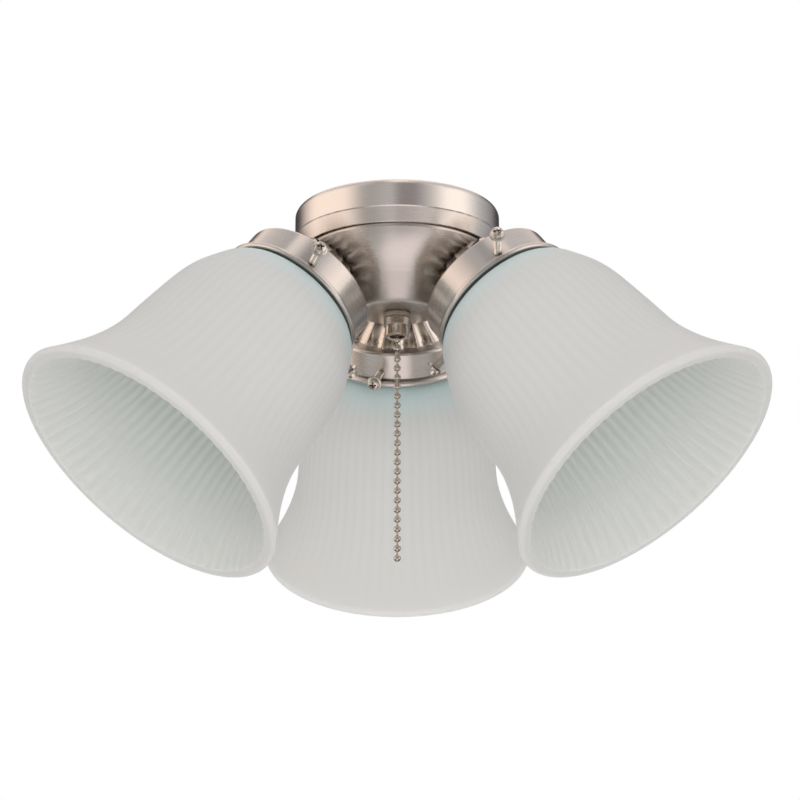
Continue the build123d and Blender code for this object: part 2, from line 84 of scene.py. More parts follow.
GLASS_EDGE = 0.4 * MM

# Ribs inside the shade: how deep, how keen their crests are, and where along it they rise and fade
RIBS = 66
RIB_STEPS = 6
RIB_DEPTH = 0.95 * MM
RIB_RIM_SHARE = 0.65
RIB_KEENNESS = 0.65
RIB_START = 12.0 * MM
RIB_FULL = 24.0 * MM
RIB_FADE = 84.0 * MM
RIB_END = 114.0 * MM

# Thumb screws: bearings in degrees round each cup. A screw's own turn is a multiple of its bearing
SCREW_BEARINGS = {"rear": (-76.0, 44.0, 164.0), "left": (-102.0, 17.5, 138.0), "right": (-88.0, 30.0, 147.0)}
SCREW_ALONG = 9.95 * MM
CUP_RADIUS = 31.0 * MM
SCREW_TIP = 27.9 * MM
SCREW_STAND_OFF = 10.4 * MM
SCREW_RADIUS = 1.75 * MM
SCREW_ROOT = 1.42 * MM
SCREW_PITCH = 0.794 * MM
SCREW_SIDES = 32
SCREW_TURN = 2.3
SCREW_SHARP_ANGLE = 35.0
HEAD_RADIUS = 3.35 * MM
FLANGE_THICKNESS = 1.3 * MM
HEAD_EDGE = 0.15 * MM
FLANGE_TEETH = 24
TOOTH_STEPS = 4
TOOTH_DEPTH = 0.2 * MM
TOOTH_EDGE_SHARE = 0.6
BOSS_RADIUS = 2.4 * MM
BOSS_HEIGHT = 2.2 * MM
BOSS_DOME = 0.5 * MM
DOME_SHARES = (0.25, 0.5, 0.7, 0.85, 0.95, 1.0)
DOME_CLOSING = 0.93
RECESS_LENGTH = 3.3 * MM
RECESS_WIDTH = 0.8 * MM
RECESS_DEPTH = 1.1 * MM
RECESS_TAPER = 0.9

# Threads: rings a turn, and a flank that is cut flat at its root and crest
THREAD_ROWS = 6
THREAD_SLOPE = 1.25
THREAD_ROOT_FLAT = 0.1
THREAD_SHARP_ANGLE = 50.0

# Mounting nipple
NIPPLE_RADIUS = 5.1 * MM
NIPPLE_ROOT = 4.6 * MM
NIPPLE_BORE = 3.5 * MM
NIPPLE_PITCH = 0.94 * MM
NIPPLE_LOW = -22.0 * MM
NIPPLE_HIGH = 12.0 * MM
NIPPLE_SIDES = 64

# Lamp holder's threaded shell, by height along the arm
SHELL_LOW = 10.1 * MM
SHELL_HIGH = 24.1 * MM
SHELL_RADIUS = 13.55 * MM
SHELL_SHEET = 0.4 * MM
SHELL_FLOOR_BORE = 5.0 * MM
SHELL_WAVE = 0.22 * MM
SHELL_PITCH = 3.63 * MM
SHELL_SIDES = 96
SHELL_ROWS = 40

# Knurled nut and nozzle, by height
NUT_TOP = -46.6 * MM
NUT_LOW = -49.0 * MM
NOZZLE_TOP = -49.175 * MM
COLLAR_TOP = -49.35 * MM
COLLAR_LOW = -52.85 * MM
BARREL_TOP = -53.2 * MM
BARREL_LOW = -57.5 * MM
MOUTH_SHOULDER = -55.7 * MM
BUSHING_END = -55.65 * MM
KNOB_RADIUS = 6.1 * MM
KNOB_CORE_RADIUS = 5.5 * MM
KNOB_BORE = 4.55 * MM
BARREL_RADIUS = 5.35 * MM
BARREL_MOUTH_RADIUS = 3.4 * MM
CHAIN_BORE = 2.2 * MM
BARREL_ROUND = 0.5 * MM
BARREL_ROUND_STEPS = 5
NOZZLE_EDGE = 0.05 * MM
NOZZLE_SHARP_ANGLE = 40.0
KNURLS = 44
KNURL_STEPS = 8
KNURL_DEPTH = 0.4 * MM
KNURL_CHAMFER = 0.25 * MM

# Camera, with its elevation in degrees, and stage
CAMERA_DISTANCE = 933.6 * MM
CAMERA_TARGET = Vector((0, 0, -86.3 * MM))
CAMERA_ELEVATION = -15.46
CAMERA_LENS = 96.17
CAMERA_SHIFT = 0.0035
FLOOR_DROP = 1.25
FLOOR_SIZE = 30.0
FLOOR_COLOUR = (0.92, 0.92, 0.92)
FLOOR_ROUGHNESS = 0.9
WHITE = (1.0, 1.0, 1.0)
SOFT_GREY = (0.70, 0.70, 0.70)
LIGHT_TARGET = Vector((0, 0, -0.08))
# Name, place, width and height, power in watts and colour
LIGHTS = (
    ("front_softbox", (0.1, -1.6, -0.6), (1.4, 1.0), 9.0, WHITE),
    ("rear_softbox", (0, 1.5, -0.45), (1.6, 0.5), 8.0, WHITE),
    ("left_softbox", (-1.5, -0.6, 0.35), (1.0, 1.4), 1.6, (1.0, 0.97, 0.93)),
    ("right_softbox", (1.6, -0.5, 0.15), (0.9, 1.3), 1.4, (1.0, 0.98, 0.96)),
    ("top_softbox", (0, 0.3, 1.5), (1.4, 1.4), 1.0, WHITE),
)

# The studio that metal sees, by azimuth in degrees from the front. To the right is positive.
WARM_PANEL = (1.12, 0.935, 0.825)
BRIGHT_PANEL = (1.22, 1.09, 1.02)
PALE_WALL = (0.58, 0.55, 0.55)
GREY_WALL = (0.41, 0.395, 0.385)
COOL_WALL = (0.48, 0.49, 0.50)
DARK_GAP = (0.24, 0.22, 0.23)
BLACK_FLAG = (0.04, 0.04, 0.045)
STUDIO_WALLS = (
    (-180, PALE_WALL), (-174, PALE_WALL), (-168, BLACK_FLAG), (-142, BLACK_FLAG), (-108, WARM_PANEL),
    (-60, WARM_PANEL), (-38, GREY_WALL), (-28, GREY_WALL), (-6, PALE_WALL), (2, DARK_GAP), (20, DARK_GAP),
    (36, PALE_WALL), (58, BRIGHT_PANEL), (80, BRIGHT_PANEL), (104, COOL_WALL), (134, DARK_GAP),
    (146, BLACK_FLAG), (168, BLACK_FLAG), (174, PALE_WALL), (180, PALE_WALL),
)
ROSE_TABLE = (1.0, 0.885, 0.87)
BROWN_SIDE = (0.23, 0.205, 0.185)
UMBER_SIDE = (0.20, 0.17, 0.155)
STUDIO_LOW = (
    (-180, UMBER_SIDE), (-150, BROWN_SIDE), (-46, BROWN_SIDE), (-30, ROSE_TABLE), (38, ROSE_TABLE),
    (54, UMBER_SIDE), (180, UMBER_SIDE),
)
STUDIO_EAVES = (
    (-180, WARM_PANEL), (-146, WARM_PANEL), (-128, PALE_WALL), (-40, PALE_WALL), (-24, DARK_GAP),
    (-4, GREY_WALL), (10, DARK_GAP), (26, DARK_GAP), (40, PALE_WALL), (136, PALE_WALL), (152, WARM_PANEL),
    (180, WARM_PANEL),
)
STUDIO_HIGH = (
    (-180, WARM_PANEL), (-144, WARM_PANEL), (-126, PALE_WALL), (-30, GREY_WALL), (-15, BRIGHT_PANEL),
    (20, BRIGHT_PANEL), (34, PALE_WALL), (134, PALE_WALL), (148, WARM_PANEL), (180, WARM_PANEL),
)
STUDIO_FLOOR = (0.66, 0.585, 0.575)
STUDIO_DADO = (0.26, 0.225, 0.20)
# Where the dark dado ends to the left and right, in degrees
DADO_SIDE = (40, 52)
# Where each part of the studio gives way to the next, as the sine of the angle above the horizon
DADO_FOOT = (-0.37, -0.30)
DADO_TOP = (0.12, 0.24)
FLOOR_EDGE = (-0.98, -0.93)
EAVES_EDGE = (0.60, 0.68)
HIGH_EDGE = (0.82, 0.88)
# How far below the horizon the walls end, as the sine of that angle, by azimuth, and the blur there
WALL_FOOT = (
    (-180, 0.34), (-96, 0.34), (-60, 0.55), (-34, 0.80), (-15, 0.65), (0, 0.56), (17, 0.50), (34, 0.45),
    (90, 0.34), (180, 0.34),
)
WALL_FOOT_BLUR = (-0.04, 0.04)

# Painted shade that darkens the plate in recesses, and the shares of open surroundings where it is darkest
# and where it ends
PAINTED_SHADE_COLOUR = (0.16, 0.125, 0.105)
PAINTED_SHADE_EDGE = (0.22, 0.66)
PAINTED_SHADE_LEAST_LIT = 0.15
PAINTED_SHADE_SAMPLES = 6

# Brushed nickel: scratches a metre and how they change round the axis, how much the fine ones
# count, and how far the painted shade in recesses reaches
NICKEL_DARK = (0.760, 0.725, 0.690)
NICKEL_LIGHT = (0.825, 0.795, 0.760)
FINE_SCRATCHES = 4200.0
FINE_CHANGE = 2.2
BROAD_SCRATCHES = 700.0
BROAD_CHANGE = 1.4
FINE_SHARE = 0.85
NICKEL_CLOUDS = 38.0
BRUSHED_ROUGHNESS = (0.25, 0.31)
BRUSHED_CLOUDS = (-0.015, 0.02)
BRUSHED_ANISOTROPY = 0.7
BRUSHED_BUMP = (0.05, 0.02 * MM)
ARM_PAINTED_SHADE_REACH = 12 * MM
CAP_PAINTED_SHADE_REACH = 4 * MM
CENTRE_PAINTED_SHADE_REACH = 22 * MM
# Painted highlight: the cap's nickel colours are lifted by this factor, a lighter copy of the same plate
CAP_PAINTED_HIGHLIGHT = 1.12

# Other metals: dark and light colour, roughness, and how far painted shade in recesses reaches.
# Patches of each have its roughness times GLOSS
METALS = {
    "polished_nickel": ((0.68, 0.63, 0.55), (0.83, 0.78, 0.71), 0.08, 1.2 * MM),
    # A darker, browner copy of the polished nickel for the knurled nut and nozzle: painted shade
    "shade_darkened_nickel": ((0.58, 0.52, 0.44), (0.74, 0.69, 0.61), 0.09, 2.5 * MM),
    # A lighter copy of the polished nickel for the thumb screws: painted highlight
    "highlight_lifted_nickel": ((0.74, 0.69, 0.62), (0.86, 0.82, 0.76), 0.10, 3.5 * MM),
    "satin_nickel": ((0.72, 0.67, 0.61), (0.82, 0.77, 0.71), 0.12, 9.0 * MM),
    "zinc_steel": ((0.50, 0.51, 0.51), (0.66, 0.67, 0.66), 0.36, None),
    "brass": ((0.62, 0.45, 0.20), (0.80, 0.63, 0.33), 0.28, None),
}
METAL_GRAIN = 600.0
METAL_GLOSS = (0.8, 1.25)
METAL_BUMP = (0.06, 0.03 * MM)
# Glazed and moulded solids: dark and light colour, and roughness
SOLIDS = {
    "porcelain": ((0.80, 0.79, 0.75), (0.86, 0.85, 0.82), 0.16),
    "phenolic": ((0.022, 0.018, 0.016), (0.045, 0.036, 0.030), 0.42),
}
SOLID_GRAIN = 300.0
SOLID_GLOSS = (0.85, 1.2)
SOLID_BUMP = (0.1, 0.05 * MM)

# Frosted glass: cloudy pairs of colours outside and inside, and colours of its parts: painted light deep
# inside the bell, painted shade over the ribs and on the rim, and the collar's teal with painted light and
# shade
GLASS_OUTER = ((0.676, 0.660, 0.642), (0.664, 0.656, 0.644))
GLASS_INNER = ((0.655, 0.664, 0.642), (0.662, 0.666, 0.648))
GLASS_DEEP_PAINTED_LIGHT = (0.800, 0.815, 0.790)
GLASS_RIB_SHADE = (0.54, 0.57, 0.56)
GLASS_COLLAR_TINT_AND_LIGHT = (0.600, 0.705, 0.700)
GLASS_RIM_SHADE = (0.596, 0.584, 0.568)
# From where to where along the shade each of these gives way to the next
DEEP_PAINTED_LIGHT_FADE = (46.0 * MM, 92.0 * MM)
INNER_FADE = (84.0 * MM, 116.0 * MM)
RIB_SHADE_FADE = (86.0 * MM, 112.0 * MM)
COLLAR_TINT_AND_LIGHT_FADE = (18.0 * MM, 30.0 * MM)
RIM_SHADE_FADE = (114.8 * MM, 116.0 * MM)
RIM_SHADE_SHIFT_INSIDE = 1.5 * MM
# How much painted rib shade shows, outside and inside, and what is left of it and of the inner colour at the
# rim
RIB_SHADE_SHARES = (0.24, 0.58)
RIB_SHADE_AT_RIM = 0.15
INNER_TINT_AT_RIM = 0.6
# How far inside the rim's inner edge counts, from 0 to 1
RIM_EDGE_INSIDE = 0.9
GLASS_SCATTER = (1.0, 1.05, 1.05)
GLASS_SCATTER_REACH = 8.0 * MM
GLASS_SPECULAR = 0.3
GLASS_IOR = 1.5
GLASS_CLOUDS = 30.0
GLASS_GRAIN = 4200.0
GLASS_ROUGHNESS = (0.48, 0.62)
GLASS_BUMP = (0.12, 0.02 * MM)


def arm_matrix(name):
    """An arm's frame: Z runs from the cup's back to the shade's mouth."""
    azimuth = radians(FIRST_ARM_AZIMUTH + ARM_NAMES.index(name) * 360 / len(ARM_NAMES))
    tilt = radians(ARM_TILT)
    up = Vector((0, 0, 1))
    outward = Vector((cos(azimuth), sin(azimuth), 0))
    z_axis = outward * cos(tilt) - up * sin(tilt)
    x_axis = up.cross(outward)
    matrix = Matrix((x_axis, z_axis.cross(x_axis), z_axis)).transposed().to_4x4()
    matrix.translation = outward * ARM_REACH - up * ARM_DROP
    return matrix


# Mesh helpers


def ring_mesh(name, rings, loop=False):
    """A mesh from an array of rings, (rows, sides, 3). A loop joins the last ring to the first."""
    rows, sides = rings.shape[:2]
    faces = []
    for row in range(rows if loop else rows - 1):
        low = row * sides
        high = (row + 1) % rows * sides
        for side in range(sides):
            after = (side + 1) % sides
            faces.append((low + side, low + after, high + after, high + side))
    if not loop:
        faces.append(tuple(range(sides))[::-1])
        faces.append(tuple(range((rows - 1) * sides, rows * sides)))
    mesh = bpy.data.meshes.new(name)
    mesh.from_pydata(rings.reshape(-1, 3).tolist(), [], faces)
    mesh.shade_smooth()
    return mesh


def turned_rings(outline, sides, radius_change=None):
    """Rings of (radius, height) points turned about Z. radius_change(angles, heights) adds to the radius."""
    outline = np.array(outline)
    angles = np.arange(sides) * tau / sides
    radius = np.repeat(outline[:, :1], sides, axis=1)
    height = np.repeat(outline[:, 1:2], sides, axis=1)
    if radius_change is not None:
        radius = radius + radius_change(angles[None, :], height)
    return np.stack([radius * np.cos(angles), radius * np.sin(angles), height], axis=2)


def smooth_line(points, steps):
    """Evenly spaced points of a natural cubic curve through the given points."""
    points = np.array(points)
    count = len(points)
    gaps = np.hypot(*np.diff(points, axis=0).T)
    knots = np.concatenate(([0.0], np.cumsum(gaps)))
    system = np.eye(count)
    right = np.zeros((count, 2))
    for i in range(1, count - 1):
        system[i, i - 1 : i + 2] = gaps[i - 1], 2 * (gaps[i - 1] + gaps[i]), gaps[i]
        right[i] = 6 * ((points[i + 1] - points[i]) / gaps[i] - (points[i] - points[i - 1]) / gaps[i - 1])
    bend = np.linalg.solve(system, right)
    at = np.linspace(0, knots[-1], steps)
    span = np.clip(np.searchsorted(knots, at, side="right") - 1, 0, count - 2)
    gap = gaps[span][:, None]
    back = (knots[span + 1] - at)[:, None] / gap
    ahead = 1 - back
    straight = back * points[span] + ahead * points[span + 1]
    return straight + ((back**3 - back) * bend[span] + (ahead**3 - ahead) * bend[span + 1]) * gap**2 / 6


def ramp(value, low, high):
    """0 below low, 1 above high and a smooth step between."""
    share = np.clip((value - low) / (high - low), 0, 1)
    return share * share * (3 - 2 * share)


def show(name, mesh, material, body, replaced):
    """Adds a mesh to the scene as a piece that stands for CAD nodes."""
    piece = bpy.data.objects.new(name, mesh)
    bpy.context.scene.collection.objects.link(piece)
    mesh.materials.append(material)
    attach(piece, body)
    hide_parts(*replaced)
    return piece


# Material helpers


def new_material(name):
    material = bpy.data.materials.new(name)
    material.use_nodes = True
    tree = material.node_tree
    tree.nodes.clear()
    output = tree.nodes.new("ShaderNodeOutputMaterial")
    shader = tree.nodes.new("ShaderNodeBsdfPrincipled")
    tree.links.new(shader.outputs["BSDF"], output.inputs["Surface"])
    return material, tree, shader


def add(tree, kind, inputs=None, **settings):
    """Adds a node. Each input is a plain value or another node's socket."""
    made = tree.nodes.new(kind)
    for key, value in settings.items():
        setattr(made, key, value)
    for key, value in (inputs or {}).items():
        if isinstance(value, bpy.types.NodeSocket):
            tree.links.new(value, made.inputs[key])
        else:
            made.inputs[key].default_value = value
    return made


def calc(tree, operation, *values):
    return add(tree, "ShaderNodeMath", dict(enumerate(values)), operation=operation).outputs[0]


def vector_calc(tree, operation, *values, output="Vector"):
    return add(tree, "ShaderNodeVectorMath", dict(enumerate(values)), operation=operation).outputs[output]


def noise(tree, scale, vector, w=None, detail=2.0):
    """Noise at a place, or, with w, noise that also changes along w."""
    inputs = {"Scale": scale, "Detail": detail, "Vector": vector}
    if w is None:
        return add(tree, "ShaderNodeTexNoise", inputs).outputs["Fac"]
    return add(tree, "ShaderNodeTexNoise", {**inputs, "W": w}, noise_dimensions="4D").outputs["Fac"]


def spread(tree, value, low, high, from_low=0.3, from_high=0.7):
    """Maps a value from one range, by default that of most noise, to low..high."""
    inputs = {"Value": value, "From Min": from_low, "From Max": from_high, "To Min": low, "To Max": high}
    return add(tree, "ShaderNodeMapRange", inputs).outputs[0]


def mix_colours(tree, share, first, second):
    made = add(tree, "ShaderNodeMix", {"Factor": share}, data_type="RGBA")
    for socket, colour in ((made.inputs[6], first), (made.inputs[7], second)):
        if isinstance(colour, bpy.types.NodeSocket):
            tree.links.new(colour, socket)
        else:
            socket.default_value = (*colour, 1)
    return made.outputs[2]


def bump(tree, shader, height, strength, distance):
    made = add(tree, "ShaderNodeBump", {"Height": height, "Strength": strength, "Distance": distance})
    tree.links.new(made.outputs["Normal"], shader.inputs["Normal"])


def painted_shade_in_recesses(tree, colour, reach):
    """Darkens a plated colour where the surface is closed in: painted shade in recesses."""
    occlusion = add(tree, "ShaderNodeAmbientOcclusion", {"Distance": reach}, samples=PAINTED_SHADE_SAMPLES)
    plate = spread(tree, occlusion.outputs["AO"], PAINTED_SHADE_LEAST_LIT, 1, *PAINTED_SHADE_EDGE)
    return mix_colours(tree, plate, PAINTED_SHADE_COLOUR, colour)


# Materials


def brushed_nickel(name, matrix, reach, highlight_lift=1.0):
    """Nickel plate brushed round an axis: fine rings of scratches that draw reflections out across them."""
    material, tree, shader = new_material(name)
    axis = matrix.to_3x3().col[2]
    surface = add(tree, "ShaderNodeNewGeometry")
    from_centre = vector_calc(tree, "SUBTRACT", surface.outputs["Position"], matrix.translation)
    around = vector_calc(tree, "CROSS_PRODUCT", axis, from_centre)
    across = vector_calc(tree, "CROSS_PRODUCT", surface.outputs["Normal"], around)
    height = vector_calc(tree, "DOT_PRODUCT", from_centre, axis, output="Value")
    radius = vector_calc(tree, "LENGTH", around, output="Value")
    ring = calc(tree, "ADD", height, radius)
    turn = vector_calc(tree, "NORMALIZE", around)
    fine = noise(tree, FINE_CHANGE, turn, calc(tree, "MULTIPLY", ring, FINE_SCRATCHES), detail=3.0)
    broad = noise(tree, BROAD_CHANGE, turn, calc(tree, "MULTIPLY", ring, BROAD_SCRATCHES))
    cloud = noise(tree, NICKEL_CLOUDS, surface.outputs["Position"])
    fine = calc(tree, "MULTIPLY", fine, FINE_SHARE)
    streaks = calc(tree, "ADD", fine, calc(tree, "MULTIPLY", broad, 1 - FINE_SHARE))
    # A factor above 1 lifts the colours as a painted highlight
    dark, light = (Vector(colour) * highlight_lift for colour in (NICKEL_DARK, NICKEL_LIGHT))
    tint = mix_colours(tree, spread(tree, streaks, 0, 1), dark, light)
    # The plate colour, darkened by painted shade in recesses
    tree.links.new(painted_shade_in_recesses(tree, tint, reach), shader.inputs["Base Color"])
    rough = calc(tree, "ADD", spread(tree, streaks, *BRUSHED_ROUGHNESS), spread(tree, cloud, *BRUSHED_CLOUDS))
    tree.links.new(rough, shader.inputs["Roughness"])
    tree.links.new(across, shader.inputs["Tangent"])
    shader.inputs["Metallic"].default_value = 1.0
    shader.inputs["Anisotropic"].default_value = BRUSHED_ANISOTROPY
    bump(tree, shader, streaks, *BRUSHED_BUMP)
    return material


def plain_metal(name, dark, light, roughness, painted_shade_reach):
    """Plated or bare metal with a slight unevenness of colour, gloss and surface."""
    material, tree, shader = new_material(name)
    place = add(tree, "ShaderNodeTexCoord").outputs["Object"]
    patches = noise(tree, METAL_GRAIN, place, detail=3.0)
    tint = mix_colours(tree, spread(tree, patches, 0, 1), dark, light)
    # Painted shade in recesses
    if painted_shade_reach:
        tint = painted_shade_in_recesses(tree, tint, painted_shade_reach)
    tree.links.new(tint, shader.inputs["Base Color"])
    rough = spread(tree, patches, *(roughness * share for share in METAL_GLOSS))
    tree.links.new(rough, shader.inputs["Roughness"])
    shader.inputs["Metallic"].default_value = 1.0
    bump(tree, shader, patches, *METAL_BUMP)
    return material


def plain_solid(name, dark, light, roughness):
    """Glazed or moulded material with faint mottling."""
    material, tree, shader = new_material(name)
    place = add(tree, "ShaderNodeTexCoord").outputs["Object"]
    patches = noise(tree, SOLID_GRAIN, place, detail=4.0)
    tree.links.new(mix_colours(tree, spread(tree, patches, 0, 1), dark, light), shader.inputs["Base Color"])
    rough = spread(tree, patches, *(roughness * share for share in SOLID_GLOSS))
    tree.links.new(rough, shader.inputs["Roughness"])
    bump(tree, shader, patches, *SOLID_BUMP)
    return material


def frosted_glass(name):
    """Etched glass. Its pieces carry along, inside and rib values on their points."""
    material, tree, shader = new_material(name)
    along = add(tree, "ShaderNodeAttribute", attribute_name="along").outputs["Fac"]
    inside = add(tree, "ShaderNodeAttribute", attribute_name="inside").outputs["Fac"]
    rib = add(tree, "ShaderNodeAttribute", attribute_name="rib").outputs["Fac"]
    place = add(tree, "ShaderNodeTexCoord").outputs["Object"]
    cloud = spread(tree, noise(tree, GLASS_CLOUDS, place), 0, 1)
    grain = noise(tree, GLASS_GRAIN, place, detail=1.0)
    outer = mix_colours(tree, cloud, *GLASS_OUTER)
    inner = mix_colours(tree, cloud, *GLASS_INNER)
    # Painted light: the inside is lighter deep in the bell, where shade falls
    inner = mix_colours(tree, spread(tree, along, 1.0, 0.0, *DEEP_PAINTED_LIGHT_FADE), inner, GLASS_DEEP_PAINTED_LIGHT)
    within = calc(tree, "MULTIPLY", inside, spread(tree, along, 1.0, INNER_TINT_AT_RIM, *INNER_FADE))
    body = mix_colours(tree, within, outer, inner)
    # Painted shade over the ribs' crests: outside for less light through the thicker glass, inside for the
    # ribs' shading
    rib_shade = calc(tree, "MULTIPLY", rib, spread(tree, inside, *RIB_SHADE_SHARES, 0.0, 1.0))
    rib_shade = calc(tree, "MULTIPLY", rib_shade, spread(tree, along, 1.0, RIB_SHADE_AT_RIM, *RIB_SHADE_FADE))
    ribbed = mix_colours(tree, rib_shade, body, GLASS_RIB_SHADE)
    # By the cup: the thick glass's own teal, with its lightness set as painted light and shade in the crevice
    # under the bead
    collar_tinted = mix_colours(tree, spread(tree, along, 1.0, 0.0, *COLLAR_TINT_AND_LIGHT_FADE), ribbed, GLASS_COLLAR_TINT_AND_LIGHT)
    # Painted shade on the rim, which otherwise catches more light than the wall
    from_rim = calc(tree, "SUBTRACT", along, calc(tree, "MULTIPLY", inside, RIM_SHADE_SHIFT_INSIDE))
    coloured = mix_colours(tree, spread(tree, from_rim, 0.0, 1.0, *RIM_SHADE_FADE), collar_tinted, GLASS_RIM_SHADE)
    tree.links.new(coloured, shader.inputs["Base Color"])
    tree.links.new(spread(tree, grain, *GLASS_ROUGHNESS), shader.inputs["Roughness"])
    shader.inputs["Subsurface Weight"].default_value = 1.0
    shader.inputs["Subsurface Radius"].default_value = GLASS_SCATTER
    shader.inputs["Subsurface Scale"].default_value = GLASS_SCATTER_REACH
    shader.inputs["Specular IOR Level"].default_value = GLASS_SPECULAR
    shader.inputs["IOR"].default_value = GLASS_IOR
    bump(tree, shader, grain, *GLASS_BUMP)
    return material


# Pieces


def quarter_round(centre, radius, start):
    """Points of a quarter circle from the start angle on, in degrees."""
    turns = [radians(start + 90 * step / RIM_STEPS) for step in range(RIM_STEPS + 1)]
    return [(centre[0] + radius * cos(turn), centre[1] + radius * sin(turn)) for turn in turns]


def shade_outline():
    """The shade's closed outline as (radius, along, inside). Inside is 1 within the bell and 0 outside."""
    start = SHADE_SETBACK + COLLAR_LENGTH
    end = SHADE_SETBACK + SHADE_LENGTH

    def bell(shares, collar, mouth, rim_round):
        length = end - rim_round - start
        corners = [(collar + (mouth - collar) * wide, start + length * deep) for wide, deep in shares]
        return smooth_line(corners, BELL_STEPS)

    def marked(points, first, last):
        return np.column_stack([np.array(points), np.linspace(first, last, len(points))])

    outside = bell(OUTER_BELL_SHARES, COLLAR_RADIUS, MOUTH_RADIUS, RIM_OUTER_ROUND)
    inside = bell(INNER_BELL_SHARES, COLLAR_BORE, MOUTH_INNER_RADIUS, RIM_INNER_ROUND)[::-1]
    outer_arc = quarter_round((MOUTH_RADIUS - RIM_OUTER_ROUND, end - RIM_OUTER_ROUND), RIM_OUTER_ROUND, 0)
    inner_centre = (MOUTH_INNER_RADIUS + RIM_INNER_ROUND, end - RIM_INNER_ROUND)
    inner_arc = quarter_round(inner_centre, RIM_INNER_ROUND, 90)
    lip_end = SHADE_SETBACK + LIP_HEIGHT
    undercut_end = lip_end + LIP_RADIUS - COLLAR_RADIUS
    bore = [
        (COLLAR_BORE, start - COLLAR_LENGTH / 2),
        (COLLAR_BORE, SHADE_SETBACK + GLASS_EDGE),
        (COLLAR_BORE + GLASS_EDGE, SHADE_SETBACK),
    ]
    lip = [
        (LIP_RADIUS - GLASS_EDGE, SHADE_SETBACK),
        (LIP_RADIUS, SHADE_SETBACK + GLASS_EDGE),
        (LIP_RADIUS, lip_end - GLASS_EDGE),
        (LIP_RADIUS - GLASS_EDGE / 2, lip_end),
        (COLLAR_RADIUS, undercut_end),
        (COLLAR_RADIUS, undercut_end + 2 * GLASS_EDGE),
    ]
    return np.concatenate([
        marked(outside[:-1], 0, 0),
        marked(outer_arc, 0, 0),
        marked(inner_arc[:-1], RIM_EDGE_INSIDE, 1),
        marked(inside, 1, 1),
        marked(bore, 1, 1),
        marked(lip, 0, 0),
    ])


def rib_waves(angles):
    """Two rib profiles, 1 at the crest and 0 in the hollow: channels with keen crests, and a soft wave."""
    share = (angles * RIBS / tau) % 1 - 0.5
    soft = (1 - np.cos(tau * share)) / 2
    return RIB_KEENNESS * (2 * share) ** 2 + (1 - RIB_KEENNESS) * soft, soft


def make_shade(name, glass):
    outline = shade_outline()
    along = outline[:, 1]
    inside = outline[:, 2]
    sides = RIBS * RIB_STEPS
    keen, soft = rib_waves(np.arange(sides) * tau / sides)
    near_rim = ramp(along, RIB_FADE, RIB_END)
    wave = keen[None, :] + (soft - keen)[None, :] * near_rim[:, None]
    depth = ramp(along, RIB_START, RIB_FULL) * (1 - (1 - RIB_RIM_SHARE) * near_rim)
    ribs = depth[:, None] * wave
    rings = turned_rings(outline[:, :2], sides, lambda angles, heights: -RIB_DEPTH * ribs * inside[:, None])
    mesh = ring_mesh(f"{name}_ribbed_shade", rings, loop=True)
    marks = {
        "along": np.repeat(along[:, None], sides, axis=1),
        "inside": np.repeat(inside[:, None], sides, axis=1),
        "rib": ribs,
    }
    for key, values in marks.items():
        attribute = mesh.attributes.new(key, "FLOAT", "POINT")
        attribute.data.foreach_set("value", values.ravel().astype(np.float32))
    mesh.transform(arm_matrix(name))
    show(f"{name}_ribbed_shade", mesh, glass, "kit", [f"{name}_shade"])


def cut_cross(mesh, top):
    """Cuts a tapered cross recess into the top of a screw's boss."""
    body = bpy.data.objects.new("recess_body", mesh)
    bpy.context.scene.collection.objects.link(body)
    for turn in (0, 1):
        work = bmesh.new()
        bmesh.ops.create_cube(work, size=1.0)
        for vertex in work.verts:
            taper = 1 + RECESS_TAPER * vertex.co.z
            deep = 2 * RECESS_DEPTH * vertex.co.z
            vertex.co = (RECESS_LENGTH * taper * vertex.co.x, RECESS_WIDTH * taper * vertex.co.y, top + deep)
        quarter_turn = Matrix.Rotation(turn * pi / 2, 3, "Z")
        bmesh.ops.rotate(work, verts=work.verts, cent=(0, 0, 0), matrix=quarter_turn)
        cutter_mesh = bpy.data.meshes.new("recess_cutter")
        work.to_mesh(cutter_mesh)
        work.free()
        cutter = bpy.data.objects.new("recess_cutter", cutter_mesh)
        bpy.context.scene.collection.objects.link(cutter)
        boolean = body.modifiers.new("recess", "BOOLEAN")
        boolean.operation = "DIFFERENCE"
        boolean.solver = "EXACT"
        boolean.object = cutter
        graph = bpy.context.evaluated_depsgraph_get()
        cut = bpy.data.meshes.new_from_object(body.evaluated_get(graph))
        body.modifiers.clear()
        body.data = cut
        bpy.data.objects.remove(cutter)
    bpy.data.objects.remove(body)
    return cut


def thread_rings(root, crest, low, high, pitch, sides):
    """Rings of a thread that winds up from low to high and runs out at both ends."""
    rows = int((high - low) / pitch * THREAD_ROWS)
    angles = np.arange(sides) * tau / sides
    heights = np.linspace(low, high, rows)[:, None]
    phase = (heights / pitch - angles[None, :] / tau) % 1
    flank = np.clip((1 - np.abs(2 * phase - 1)) * THREAD_SLOPE - THREAD_ROOT_FLAT, 0, 1)
    ends = ramp(heights, low, low + pitch) * (1 - ramp(heights, high - pitch, high))
    radius = root + (crest - root) * flank * ends
    return np.stack([radius * np.cos(angles), radius * np.sin(angles), heights + 0 * radius], axis=2)


